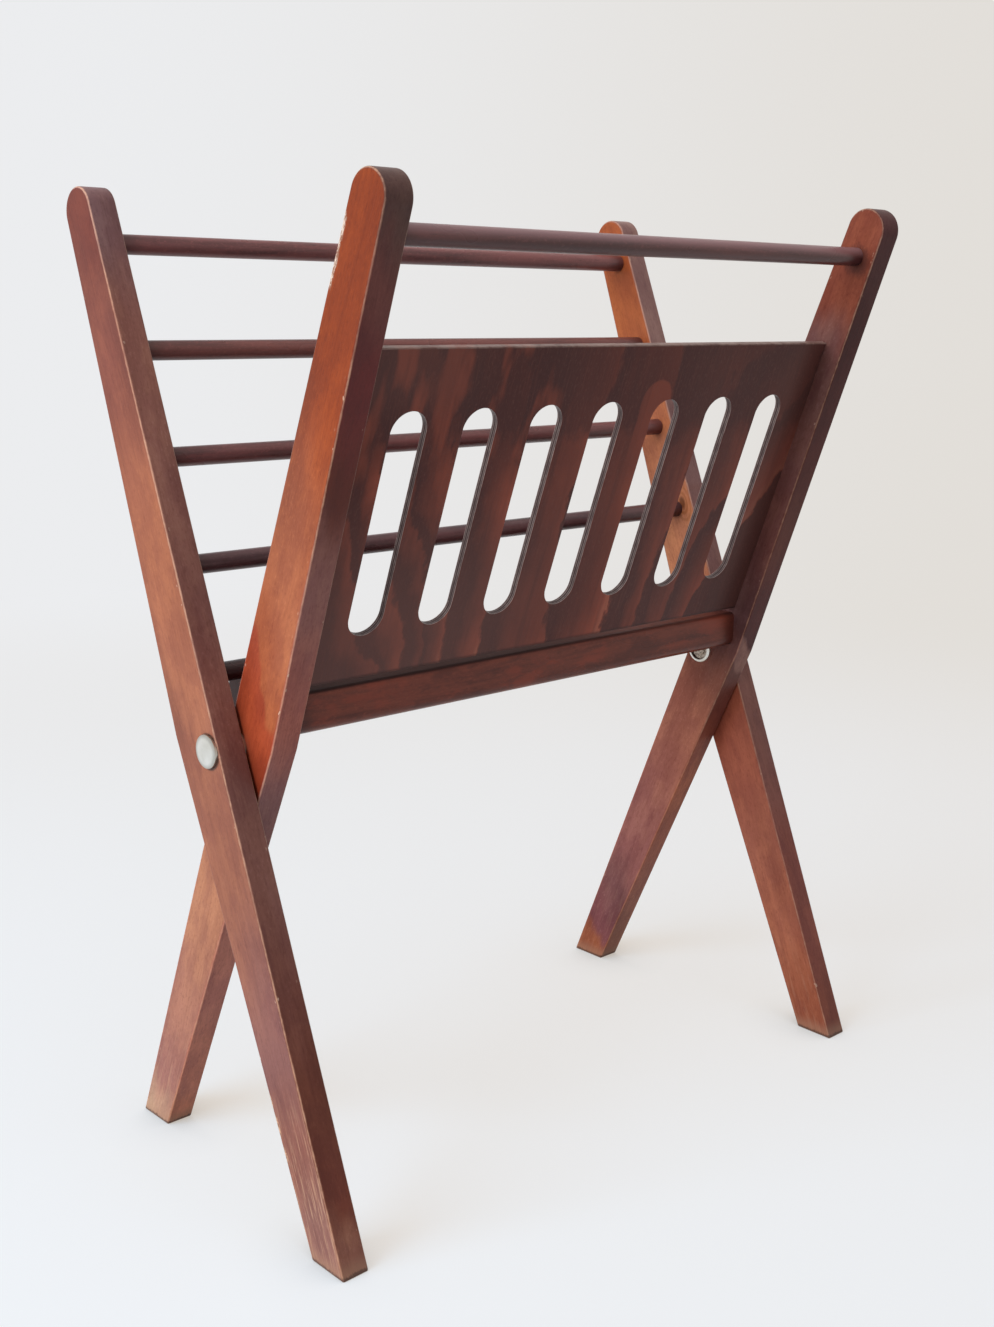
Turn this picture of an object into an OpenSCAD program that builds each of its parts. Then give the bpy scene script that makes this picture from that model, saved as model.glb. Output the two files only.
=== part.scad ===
// Folding magazine rack: a rung frame and a slotted panel frame crossed on two rivets.
// X runs along the rack, Y from the panel side (front) to the rung side (back), Z up.
// The origin is on the floor under the middle of the rack. The rack is drawn open.

/* [Overall] */
// Length over the two outer legs
rack_len = 400; // [330:1:480]
// Lean of each leg's straight edge from the vertical, open
lean = 21.7; // [18:0.1:25]
// Height of the pivots above the floor
pivot_h = 237.3; // [200:0.1:285]

/* [Legs] */
// Thickness of a leg
leg_t = 15.5; // [13:0.1:19]
// Reach of a leg from its pivot to its round top
leg_reach = 287.5; // [280:0.5:345]
// Width of a leg at its round top
top_w = 23.8; // [20:0.1:29]
// Width of a leg at the bend beside the pivot
bend_w = 35.3; // [32:0.1:43]
// Width of a leg at the floor, across the grain
foot_w = 23; // [19:0.1:28]
// Height of the bend above the pivot, along the leg
bend_up = 12; // [4:0.5:20]
// Distance of the pivot from the straight edge
pivot_edge = 8.8; // [8.6:0.1:12]
// Bevel on the long arrises
arris = 0.8; // [0.3:0.1:1.5]

/* [Rungs and top rail] */
// Diameter of the rungs and of the top rail
rung_d = 10; // [8:0.5:13]
// Distance of the lowest rung above the pivot, along the leg
rung_low = 37.6; // [34:0.1:46]
// Distance of the highest rung below the leg's round top
rung_drop = 29.1; // [20:0.1:40]
// Shift of the rungs from the leg's middle towards its straight edge
rung_shift = 2; // [0:0.5:4]
// Distance of the top rail below the leg's round top
rail_drop = 26.8; // [20:0.1:36]
// Depth of a rung's end in its leg
tenon = 8; // [5:0.5:10]

/* [Panel] */
// Thickness of the plywood
panel_t = 4; // [3:0.1:6]
// Lean of the panel from the vertical
panel_lean = 19.4; // [18:0.1:21]
// Distance of the panel's middle plane in front of the pivots
panel_set = 12.3; // [8:0.1:16]
// Distance of the panel's top edge below the top rail
panel_drop = 50.9; // [25:0.1:70]
// Depth of the panel's ends in the legs' grooves
panel_in = 4; // [2:0.5:6]
// Gap between the panel's lower edge and the floor board
panel_gap = 3.2; // [0.5:0.1:5]
// Number of slots
slot_n = 7; // [3:1:7]
// Width of a slot
slot_w = 21.6; // [14:0.1:27]
// Wood between the left leg and the first slot
slot_left = 25.2; // [15:0.1:35]
// Wood between the last slot and the right leg
slot_right = 22.8; // [15:0.1:35]
// Wood between the slots' upper ends and the panel's top edge
slot_over = 30.6; // [20:0.1:45]
// Wood between the slots' lower ends and the panel's lower edge
slot_under = 24.4; // [20:0.1:45]

/* [Floor board] */
// Width of the board, front to back
board_w = 55; // [50:0.5:62]
// Thickness of the board
board_t = 21.2; // [18:0.1:25]
// Distance of the board's front edge in front of the pivots
board_front = 25.6; // [22:0.1:28]
// Radius of the board's upper long edges
board_top_r = 3; // [1:0.1:6]
// Radius of the board's lower long edges
board_low_r = 5; // [1:0.1:8]
// Diameter of the pins that hold the board between its legs
peg_d = 8; // [6:0.5:9]
// Length of a pin
peg_len = 28; // [20:1:34]

/* [Pivots] */
// Diameter of a rivet's shank
shank_d = 6; // [4:0.1:7]
// Diameter of a rivet's head and of its cap
head_d = 17; // [13:0.1:17]
// Height of a rivet's head at its rim
rim_h = 1.5; // [0.8:0.1:2.5]
// Rise of a rivet's head from its rim to its crown
crown_h = 0.7; // [0.3:0.1:1.5]
// Width of a cap's raised rim
cap_rim = 2.4; // [1.5:0.1:3.2]
// Thickness of a cap at the bottom of its dish
dish_t = 0.9; // [0.6:0.1:1.2]
// Diameter of the clenched end of a rivet, in its cap's dish
clench_d = 8; // [7.6:0.1:9]
// Thickness of the washer between two crossed legs
washer_t = 1.2; // [0.8:0.1:3]
// Diameter of that washer
washer_d = 16; // [12:0.1:17]

/* [Clearances] */
// Play between a leg's bore and the rivet it turns on, on the radius
turn_play = 0.08; // [0.02:0.01:0.1]
// Play between the faces of pieces that turn on each other
side_play = 0.05; // [0.02:0.01:0.2]
// Play of a glued piece in its hole or groove, on each side
glue_play = 0.05; // [0:0.01:0.15]
// Gap under the lowest rung where it stops over the floor board
stop_gap = 0.3; // [0.1:0.1:0.6]

/* [Hidden] */
$fn = 64;
eps = 1;
top_r = top_w / 2;
// The round top meets the leg's sides at a slight angle, as a sanded end does
top_turn = 5;
nose_r = top_r / cos(top_turn);
rung_r = rung_d / 2;
head_r = head_d / 2;
cap_h = rim_h + crown_h;
clench_h = cap_h - dish_t - glue_play;
shank_r = shank_d / 2;
// Room between the outer leg and the inner leg of one end
leg_gap = washer_t + 2 * side_play;
outer_x = -rack_len / 2;
inner_x = outer_x + leg_t + leg_gap;
// Inner face of the panel frame's left leg
clear_x = inner_x + leg_t;
bay_len = -2 * clear_x;

// Leg outline in its own plane: [across, along], the straight edge at -pivot_edge, the pivot at 0
straight_y = -pivot_edge;
bend = [straight_y + bend_w, bend_up];
crown = [straight_y + top_r, leg_reach - nose_r];
// Distance along the leg at which it meets the floor, at a place across it
function floor_at(y) = (y * sin(lean) - pivot_h) / cos(lean);
toe = [straight_y, floor_at(straight_y)];
heel = [straight_y + foot_w, floor_at(straight_y + foot_w)];
// Tapered edge above the bend: it passes the crown at the same distance as the straight edge
bend_dir = crown - bend;
taper = 90 - atan2(bend_dir.y, bend_dir.x) + asin(top_r / norm(bend_dir));

// Width of a leg above its bend, and the place across it of a rung at distance s from the pivot
function width_at(s) = bend_w + (s - bend_up) * tan(taper);
function rung_y(s) = straight_y + width_at(s) / 2 - rung_shift;
// One node for each rung
rung_n = 5;
rung_pitch = (leg_reach - rung_drop - rung_low) / (rung_n - 1);
rung_s = [for (i = [0 : rung_n - 1]) rung_low + i * rung_pitch];
rail_up = leg_reach - rail_drop;
rail_at = [straight_y + width_at(rail_up) / 2, rail_up];

// Height above the pivot of the lowest rung's axis, and of the board that it stops on
low_rung_z = rung_low * cos(lean) - rung_y(rung_low) * sin(lean);
board_top = low_rung_z - rung_r - stop_gap;
board_mid = board_top - board_t / 2;
// Distances along the panel, from the point of its middle plane nearest the pivots
panel_foot = (board_top + panel_gap + panel_set * sin(panel_lean)) / cos(panel_lean)
    + panel_t / 2 * tan(panel_lean);
panel_top = rail_up - panel_drop;
slot_low = panel_foot + slot_under;
slot_high = panel_top - slot_over;
slot_pitch = (bay_len - slot_left - slot_right - slot_w) / (slot_n - 1);
first_slot = -bay_len / 2 + slot_left + slot_w / 2;
// The pins sit in the part of the board's end that faces a leg
peg_y = [for (k = [0.25, 0.78]) -board_front + k * board_front];
groove_t = panel_t + 2 * glue_play;

wood = [0.45, 0.16, 0.09];
dark_wood = [0.3, 0.11, 0.09];
ply = [0.36, 0.12, 0.1];
nickel = [0.78, 0.77, 0.73];

// Placing: each frame leans about the pivot line, and every end piece is drawn at the left end
module rung_side() {
    translate([0, 0, pivot_h]) rotate([-lean, 0, 0]) children();
}

module panel_side() {
    mirror([0, 1, 0]) rung_side() children();
}

module panel_plane() {
    translate([0, 0, pivot_h]) rotate([panel_lean, 0, 0]) translate([0, -panel_set, 0]) children();
}

module at_end(side) {
    mirror([side == "right" ? 1 : 0, 0, 0]) children();
}

// Stands a drawing of the leg's plane up across the rack, its thickness along X
module across() {
    rotate([90, 0, 90]) children();
}

// Sides and foot of a leg, its top left long
module leg_sides() {
    over = leg_reach + eps;
    polygon([toe, [straight_y, over], [straight_y + width_at(over), over], bend, heel]);
}

// What the round top's cutter takes away: all above the crown but an eased disc
module top_waste() {
    translate([crown.x, crown.y, 0]) difference() {
        translate([-top_w, 0, -eps]) cube([2 * top_w, top_w, leg_t + 2 * eps]);
        rotate_extrude() polygon([[0, 0], [nose_r - arris, 0], [nose_r, arris],
            [nose_r, leg_t - arris], [nose_r - arris, leg_t], [0, leg_t]]);
    }
}

// Bar that planes the arris from p to q off one face of a leg
module arris_bar(p, q) {
    run = q - p;
    side = arris * sqrt(2);
    translate([p.x, p.y, 0]) rotate([0, 0, atan2(run.y, run.x)]) rotate([45, 0, 0])
        translate([-eps, -side / 2, -side / 2]) cube([norm(run) + 2 * eps, side, side]);
}

module face_arrises() {
    arris_bar(toe, [straight_y, leg_reach]);
    arris_bar([straight_y + width_at(leg_reach), leg_reach], bend);
    arris_bar(bend, heel);
}

// Leg in the drawing plane, from z = 0 to leg_t, bored for the rivet
module leg_blank(bore_r) {
    difference() {
        linear_extrude(leg_t) leg_sides();
        face_arrises();
        translate([0, 0, leg_t]) mirror([0, 0, 1]) face_arrises();
        top_waste();
        translate([0, 0, -eps]) cylinder(r = bore_r, h = leg_t + 2 * eps);
    }
}

// Blind hole in a leg's inner face for a rung's end
module rung_hole(y, s) {
    translate([y, s, leg_t - tenon - glue_play]) cylinder(r = rung_r + glue_play, h = tenon + eps);
}

module rung_leg(side) {
    color(wood) at_end(side) rung_side() translate([outer_x, 0, 0]) across()
        difference() {
            leg_blank(shank_r + turn_play);
            for (s = rung_s) rung_hole(rung_y(s), s);
        }
}

module panel_leg(side) {
    color(wood) at_end(side) difference() {
        panel_side() translate([inner_x, 0, 0]) across() difference() {
            leg_blank(shank_r + glue_play);
            rung_hole(rail_at.x, rail_at.y);
        }
        panel_groove();
        board_pins(glue_play);
    }
}

// Round bar between two legs whose inner faces are at -x and x, with eased ends
module round_bar(x, y, s) {
    half = x + tenon;
    ease = 0.8;
    translate([0, y, s]) rotate([0, 90, 0]) {
        translate([0, 0, -half + ease]) cylinder(r = rung_r, h = 2 * (half - ease));
        for (m = [0, 1]) mirror([0, 0, m]) translate([0, 0, half - ease])
            cylinder(r1 = rung_r, r2 = rung_r - ease, h = ease);
    }
}

module rung(i) {
    color(dark_wood) rung_side() round_bar(-outer_x - leg_t, rung_y(rung_s[i]), rung_s[i]);
}

module top_rail() {
    color(dark_wood) panel_side() round_bar(-clear_x, rail_at.x, rail_at.y);
}

// Room for the panel, which leaves a stopped groove in each leg
module panel_groove() {
    panel_plane() translate([-bay_len / 2 - panel_in - glue_play, -groove_t / 2, panel_foot - glue_play])
        cube([bay_len + 2 * panel_in + 2 * glue_play, groove_t, panel_top + 2 * glue_play - panel_foot]);
}

module slot(x) {
    r = slot_w / 2;
    for (z = [slot_low + r, slot_high - r]) translate([x, z]) circle(r = r);
    translate([x - r, slot_low + r]) square([slot_w, slot_high - slot_low - slot_w]);
}

module slotted_panel() {
    half = bay_len / 2 + panel_in;
    color(ply) panel_plane() rotate([90, 0, 0]) translate([0, 0, -panel_t / 2])
        linear_extrude(panel_t) difference() {
            translate([-half, panel_foot]) square([2 * half, panel_top - panel_foot]);
            for (i = [0 : slot_n - 1]) slot(first_slot + i * slot_pitch);
        }
}

// Waste at a corner of the board's section whose sides run along +X and +Y
module corner_waste(r) {
    difference() {
        translate([-eps, -eps]) square(r + eps);
        translate([r, r]) circle(r = r);
    }
}

module board_section() {
    difference() {
        square([board_w, board_t]);
        for (m = [0, 1]) translate([m * board_w, 0]) mirror([m, 0]) {
            corner_waste(board_low_r);
            translate([0, board_t]) mirror([0, 1]) corner_waste(board_top_r);
        }
    }
}

module floor_board() {
    color(wood) difference() {
        translate([clear_x, -board_front, pivot_h + board_top - board_t])
            across() linear_extrude(bay_len) board_section();
        for (side = ["left", "right"]) at_end(side) {
            board_pins(glue_play);
            cap_pocket();
        }
    }
}

// Room in the board's end for the cap on the inner end of a rivet
module cap_pocket() {
    depth = cap_h + side_play;
    translate([clear_x - eps, 0, pivot_h]) rotate([0, 90, 0])
        cylinder(r = head_r + 1, h = depth + 0.5 + eps);
}

// Pins half in the board's end and half in its leg
module board_pins(play) {
    in_leg = leg_t - 5;
    for (y = peg_y) translate([clear_x - in_leg - play, y, pivot_h + board_mid]) rotate([0, 90, 0])
        cylinder(r = peg_d / 2 + play, h = peg_len + 2 * play);
}

// Domed disc on the face z = 0, rising along +Z
module domed_disc() {
    dome_r = (head_r * head_r + crown_h * crown_h) / (2 * crown_h);
    rotate_extrude() intersection() {
        square([head_r, rim_h + crown_h]);
        translate([0, rim_h + crown_h - dome_r]) circle(r = dome_r, $fn = 360);
    }
}

// Domed end that a rivet's shank is clenched into, on the face z = 0
module clenched_end() {
    cylinder(d = clench_d, h = clench_h / 2);
    translate([0, 0, clench_h / 2]) cylinder(d1 = clench_d, d2 = clench_d - 2 * clench_h, h = clench_h / 2);
}

module pivot_rivet(side) {
    grip = side_play + 2 * leg_t + leg_gap + dish_t + glue_play;
    color(nickel) at_end(side) translate([outer_x - side_play, 0, pivot_h]) {
        rotate([0, -90, 0]) domed_disc();
        rotate([0, 90, 0]) {
            cylinder(r = shank_r, h = grip + clench_h / 2);
            translate([0, 0, grip]) clenched_end();
        }
    }
}

// Dished cap under a rivet's clenched end: a rounded rim round a thinner middle
module pivot_cap(side) {
    rim_r = cap_rim / 2;
    color(nickel) at_end(side) translate([clear_x, 0, pivot_h]) rotate([0, 90, 0])
        rotate_extrude() intersection() {
            translate([shank_r + glue_play, 0]) square([head_r, cap_h + eps]);
            union() {
                square([head_r - rim_r, dish_t]);
                translate([head_r - cap_rim, 0]) square([cap_rim, cap_h - rim_r]);
                translate([head_r - rim_r, cap_h - rim_r]) circle(r = rim_r);
            }
        }
}

module spacer_washer(side) {
    color(nickel) at_end(side) translate([outer_x + leg_t + side_play, 0, pivot_h]) rotate([0, 90, 0])
        difference() {
            cylinder(d = washer_d, h = washer_t);
            translate([0, 0, -eps]) cylinder(r = shank_r + turn_play, h = washer_t + 2 * eps);
        }
}

rung_leg("left");  // rung_leg_left
rung_leg("right");  // rung_leg_right
rung(0);  // rung_1
rung(1);  // rung_2
rung(2);  // rung_3
rung(3);  // rung_4
rung(4);  // rung_5
panel_leg("left");  // panel_leg_left
panel_leg("right");  // panel_leg_right
top_rail();
slotted_panel();
floor_board();
color(wood) at_end("left") board_pins(0);  // board_pins_left
color(wood) at_end("right") board_pins(0);  // board_pins_right
pivot_rivet("left");  // pivot_rivet_left
pivot_rivet("right");  // pivot_rivet_right
pivot_cap("left");  // pivot_cap_left
pivot_cap("right");  // pivot_cap_right
spacer_washer("left");  // spacer_washer_left
spacer_washer("right");  // spacer_washer_right
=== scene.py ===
import math
import bpy
import bmesh
from mathutils import Matrix, Vector


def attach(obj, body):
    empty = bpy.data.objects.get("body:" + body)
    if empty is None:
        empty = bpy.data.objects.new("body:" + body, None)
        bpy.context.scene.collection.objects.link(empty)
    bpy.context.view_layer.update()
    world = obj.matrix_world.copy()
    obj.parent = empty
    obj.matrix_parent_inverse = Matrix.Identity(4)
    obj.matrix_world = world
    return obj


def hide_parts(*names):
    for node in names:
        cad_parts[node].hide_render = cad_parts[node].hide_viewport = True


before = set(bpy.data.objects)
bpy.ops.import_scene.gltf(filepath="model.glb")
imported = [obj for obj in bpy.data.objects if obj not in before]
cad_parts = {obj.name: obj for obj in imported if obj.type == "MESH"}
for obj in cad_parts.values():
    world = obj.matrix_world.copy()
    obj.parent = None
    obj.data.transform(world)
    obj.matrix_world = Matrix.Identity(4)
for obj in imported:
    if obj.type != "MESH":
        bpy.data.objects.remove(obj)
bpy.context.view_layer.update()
scene = bpy.context.scene
scene.view_settings.view_transform = "Standard"
mm = 0.001
sameSpot = 1e-6       # places nearer to each other than this count as one, in metres

# sizes that several pieces share, in millimetres and degrees
rack = {
    "pivotHeight": 237.3,
    "lean": 21.7,
    "outerFace": 200.0,      # from the middle of the rack to the outer legs' outer faces
    "legThick": 15.5,
    "legGap": 1.3,           # between the crossed legs
    "boreRadius": 3.08,
}
pivotZ = rack["pivotHeight"] * mm
lean = math.radians(rack["lean"])
# from the middle of the rack to the inner faces of the outer legs and of the inner legs
outerBay = rack["outerFace"] - rack["legThick"]
innerBay = outerBay - rack["legThick"] - rack["legGap"]
outerMiddle = rack["outerFace"] - rack["legThick"] / 2
innerMiddle = innerBay + rack["legThick"] / 2


def clearSelection():
    if bpy.context.object and bpy.context.object.mode != "OBJECT":
        bpy.ops.object.mode_set(mode="OBJECT")
    bpy.ops.object.select_all(action="DESELECT")


def pick(*pieces):
    clearSelection()
    for piece in pieces:
        piece.select_set(True)
    bpy.context.view_layer.objects.active = pieces[0]


def called(name):
    piece = bpy.context.object
    piece.name = name
    piece.data.name = name
    return piece


def settle(piece):
    pick(piece)
    bpy.ops.object.transform_apply(location=True, rotation=True, scale=True)


def addBlock(name, low, high):
    clearSelection()
    low, high = Vector(low) * mm, Vector(high) * mm
    bpy.ops.mesh.primitive_cube_add(size=1, location=(low + high) / 2, scale=high - low)
    block = called(name)
    settle(block)
    return block


def addBar(name, radius, start, end, y, z, sides=48):
    clearSelection()
    bpy.ops.mesh.primitive_cylinder_add(
        vertices=sides, radius=radius * mm, depth=(end - start) * mm,
        location=((start + end) / 2 * mm, y * mm, z * mm), rotation=(0, math.pi / 2, 0))
    bar = called(name)
    settle(bar)
    return bar


def endCutter(sign, start, end, radius, y, z, sides=48):
    # a bar at the left end (-1) or the right end (1), with its ends measured from the rack's middle
    return addBar("cutter", radius, *sorted((sign * start, sign * end)), y, z, sides)


def openEdit(piece, kind):
    pick(piece)
    bpy.ops.object.mode_set(mode="EDIT")
    bpy.ops.mesh.select_mode(type=kind)
    bpy.ops.mesh.select_all(action="DESELECT")


def closeEdit():
    bpy.ops.object.mode_set(mode="OBJECT")


def choose(piece, kind, test):
    # kind is EDGE or FACE, and test gets each one in turn
    bpy.ops.mesh.select_mode(type=kind)
    bpy.ops.mesh.select_all(action="DESELECT")
    shape = bmesh.from_edit_mesh(piece.data)
    for part in (shape.edges if kind == "EDGE" else shape.faces):
        if test(part):
            part.select = True
    shape.select_flush_mode()
    bmesh.update_edit_mesh(piece.data)


def bothAt(edge, axis, place):
    # whether both ends of an edge are at a place on axis 0, 1 or 2
    return all(abs(v.co[axis] - place) < sameSpot for v in edge.verts)


def longerAlong(edge, axis, least):
    return abs(edge.verts[0].co[axis] - edge.verts[1].co[axis]) > least


def fromAxis(vert):
    return Vector(vert.co.yz).length


def cutAway(point, normal):
    # slices the open mesh with a plane and closes the cut; what lies ahead of the normal goes
    bpy.ops.mesh.select_all(action="SELECT")
    bpy.ops.mesh.bisect(plane_co=point, plane_no=normal, use_fill=True, clear_outer=True)


def mergeUp(threshold):
    bpy.ops.mesh.select_all(action="SELECT")
    bpy.ops.mesh.remove_doubles(threshold=threshold)
    bpy.ops.mesh.normals_make_consistent(inside=False)
    closeEdit()


def carve(piece, *cutters):
    pick(*cutters)
    bpy.ops.object.join()
    cutter = cutters[0]
    pick(piece)
    hole = piece.modifiers.new("carve", "BOOLEAN")
    hole.operation = "DIFFERENCE"
    hole.solver = "EXACT"
    hole.object = cutter
    bpy.ops.object.modifier_apply(modifier=hole.name)
    bpy.data.objects.remove(cutter, do_unlink=True)


def smoothOff(piece, angle=35):
    pick(piece)
    bpy.ops.object.shade_smooth_by_angle(angle=math.radians(angle))
    even = piece.modifiers.new("even shading", "WEIGHTED_NORMAL")
    even.keep_sharp = True
    bpy.ops.object.modifier_apply(modifier=even.name)


def copyOf(piece, name):
    pick(piece)
    bpy.ops.object.duplicate(linked=False)
    return called(name)


def paint(piece, material):
    piece.data.materials.clear()
    piece.data.materials.append(material)


# solved from the photograph: metres, degrees and pixels
cameraPlace = {
    "place": (-0.6006, -0.6341, 0.4498),
    "azimuth": -42.983,
    "down": 12.775,
    "roll": 0.731,
    "focalPixels": 1583.6,
    "framePixels": 994,
    "sensor": 36,
}


def addCamera():
    clearSelection()
    bpy.ops.object.camera_add()
    camera = bpy.context.object
    camera.name = "camera"
    azimuth, down, roll = (math.radians(cameraPlace[angle]) for angle in ("azimuth", "down", "roll"))
    ahead = Vector((-math.sin(azimuth) * math.cos(down), math.cos(azimuth) * math.cos(down), -math.sin(down)))
    right = Vector((math.cos(azimuth), math.sin(azimuth), 0))
    up = right.cross(ahead)
    turnedRight = right * math.cos(roll) + up * math.sin(roll)
    turnedUp = up * math.cos(roll) - right * math.sin(roll)
    turn = Matrix((turnedRight, turnedUp, -ahead)).transposed().to_4x4()
    camera.matrix_world = Matrix.Translation(Vector(cameraPlace["place"])) @ turn
    camera.data.sensor_fit = "HORIZONTAL"
    camera.data.sensor_width = cameraPlace["sensor"]
    camera.data.lens = cameraPlace["sensor"] * cameraPlace["focalPixels"] / cameraPlace["framePixels"]
    camera.data.clip_start = 0.01
    scene.camera = camera
    return right


viewRight = addCamera()
print("camera placed")


# the node tree in hand, which takeUp changes
bench = {"tree": None}


def takeUp(tree):
    bench["tree"] = tree
    tree.nodes.clear()


def setOrLink(socket, value):
    if isinstance(value, bpy.types.NodeSocket):
        bench["tree"].links.new(value, socket)
    elif value is not None:
        socket.default_value = value


def addNode(kind, inputs=None, **settings):
    node = bench["tree"].nodes.new("ShaderNode" + kind)
    for name, value in settings.items():
        setattr(node, name, value)
    for socket, value in (inputs or {}).items():
        setOrLink(node.inputs[socket], value)
    return node


def calc(operation, *values, clamp=False):
    return addNode("Math", dict(enumerate(values)), operation=operation, use_clamp=clamp).outputs[0]


def plus(a, b, clamp=False):
    return calc("ADD", a, b, clamp=clamp)


def minus(a, b):
    return calc("SUBTRACT", a, b)


def times(a, b, clamp=False):
    return calc("MULTIPLY", a, b, clamp=clamp)


def absolute(value):
    return calc("ABSOLUTE", value)


def inverse(mask):
    return minus(1.0, mask)


def lengthOf(a, b):
    return calc("SQRT", plus(times(a, a), times(b, b)))


def reach(value, low, high, toLow=0.0, toHigh=1.0):
    # eases value from low..high to toLow..toHigh
    given = {"Value": value, "From Min": low, "From Max": high, "To Min": toLow, "To Max": toHigh}
    return addNode("MapRange", given, interpolation_type="SMOOTHSTEP").outputs["Result"]


def tint(factor, first, second, mode="MIX"):
    first, second = (c if isinstance(c, bpy.types.NodeSocket) else (*c, 1) for c in (first, second))
    return addNode("Mix", {0: factor, 6: first, 7: second}, data_type="RGBA", blend_type=mode).outputs[2]


def layer(colour, over, value, low, high, toLow=0.0, toHigh=1.0):
    # lays the colour over where value is in reach
    return tint(reach(value, low, high, toLow, toHigh), colour, over)


def stain(colour, by):
    return tint(1.0, colour, by, "MULTIPLY")


def stretch(vector, along):
    return addNode("VectorMath", {0: vector, 1: (1, 1, along)}, operation="MULTIPLY").outputs[0]


def cloud(vector, scale, detail, roughness, seed, along=1.0):
    if along != 1.0:
        vector = stretch(vector, along)
    given = {"Vector": vector, "W": seed, "Scale": scale, "Detail": detail, "Roughness": roughness}
    return addNode("TexNoise", given, noise_dimensions="4D").outputs["Fac"]


def split(vector):
    return tuple(addNode("SeparateXYZ", {0: vector}).outputs)


def ownPoint():
    return addNode("TexCoord").outputs["Object"]


def placed(place, turn=(0, 0, 0), size=(1, 1, 1)):
    # object coordinates seen from a place and turn of the piece's own
    given = {"Vector": ownPoint(), "Location": place, "Rotation": turn, "Scale": size}
    return addNode("Mapping", given, vector_type="TEXTURE").outputs[0]


def newGroup(name, inputs, outputs):
    tree = bpy.data.node_groups.new(name, "ShaderNodeTree")
    for label, kind, value in inputs:
        socket = tree.interface.new_socket(label, in_out="INPUT", socket_type="NodeSocket" + kind)
        if value is not None:
            socket.default_value = value
    for label in outputs:
        tree.interface.new_socket(label, in_out="OUTPUT", socket_type="NodeSocketFloat")
    takeUp(tree)
    return tree, tree.nodes.new("NodeGroupInput").outputs, tree.nodes.new("NodeGroupOutput").inputs


def useGroup(group, **values):
    return addNode("Group", values, node_tree=group).outputs


def newMaterial(name):
    material = bpy.data.materials.new(name)
    material.use_nodes = True
    takeUp(material.node_tree)
    shader = addNode("BsdfPrincipled")
    addNode("OutputMaterial", {"Surface": shader.outputs[0]})
    return material, shader.inputs


def dress(sockets, colour, roughness, shine, height, strength, distance):
    bump = addNode("Bump", {"Height": height, "Strength": strength, "Distance": distance})
    for label, value in (("Base Color", colour), ("Roughness", roughness), ("Specular IOR Level", shine),
                         ("Normal", bump.outputs[0])):
        setOrLink(sockets[label], value)


def makeGrain():
    # wood with its grain along Z: broad streaks, fine fibres, short ray flecks and soft clouds
    group, given, result = newGroup("woodGrain", [("Vector", "Vector", None), ("Seed", "Float", 0.0)],
                                    ("Streaks", "Fibres", "Flecks", "Clouds", "Grit"))
    vector, seed = given["Vector"], given["Seed"]
    wander = cloud(vector, 9, 2, 0.5, seed, 0.35)
    shifted = addNode("VectorMath", operation="MULTIPLY_ADD")
    for k, value in enumerate((wander, (0.02, 0.02, 0), vector)):
        setOrLink(shifted.inputs[k], value)
    shifted = shifted.outputs[0]
    dashes = addNode("TexVoronoi", {"Scale": 620, "Vector": stretch(vector, 0.17)}).outputs["Distance"]
    sparse = cloud(vector, 140, 2, 0.6, seed)
    for label, value in (
            ("Streaks", cloud(shifted, 150, 5, 0.6, seed, 0.05)),
            ("Fibres", cloud(shifted, 1100, 3, 0.6, seed, 0.025)),
            ("Flecks", calc("LESS_THAN", dashes, reach(sparse, 0.38, 0.7, 0.05, 0.36))),
            ("Clouds", cloud(vector, 24, 3, 0.55, seed, 0.4)),
            ("Grit", cloud(vector, 850, 2, 0.7, seed, 0.45))):
        setOrLink(result[label], value)
    return group


def makeWear():
    # rubbed lines: strongest at distance 0 from an arris, broken up by noise
    group, given, result = newGroup(
        "edgeWear",
        [("Distance", "Float", 1.0), ("Vector", "Vector", None), ("Width", "Float", 0.001),
         ("Amount", "Float", 1.0), ("Seed", "Float", 0.0)], ("Wear", "Chips"))
    vector, seed = given["Vector"], given["Seed"]
    slow = cloud(vector, 26, 3, 0.6, seed)
    fine = cloud(vector, 500, 3, 0.65, seed, 0.4)
    width = times(given["Width"], reach(fine, 0.35, 0.65, 0.82, 1.15))
    line = times(reach(given["Distance"], 0.0, width, 1.0, 0.0), reach(slow, 0.38, 0.54, 0.55, 1.0))
    setOrLink(result["Wear"], times(line, given["Amount"], clamp=True))
    pits = cloud(vector, 380, 2, 0.5, plus(seed, 4.7), 0.5)
    chip = reach(plus(pits, times(slow, 0.3)), 0.84, 0.88)
    near = reach(given["Distance"], 0.0, times(given["Width"], 3.2), 1.0, 0.0)
    setOrLink(result["Chips"], times(times(chip, near), given["Amount"], clamp=True))
    return group


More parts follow.
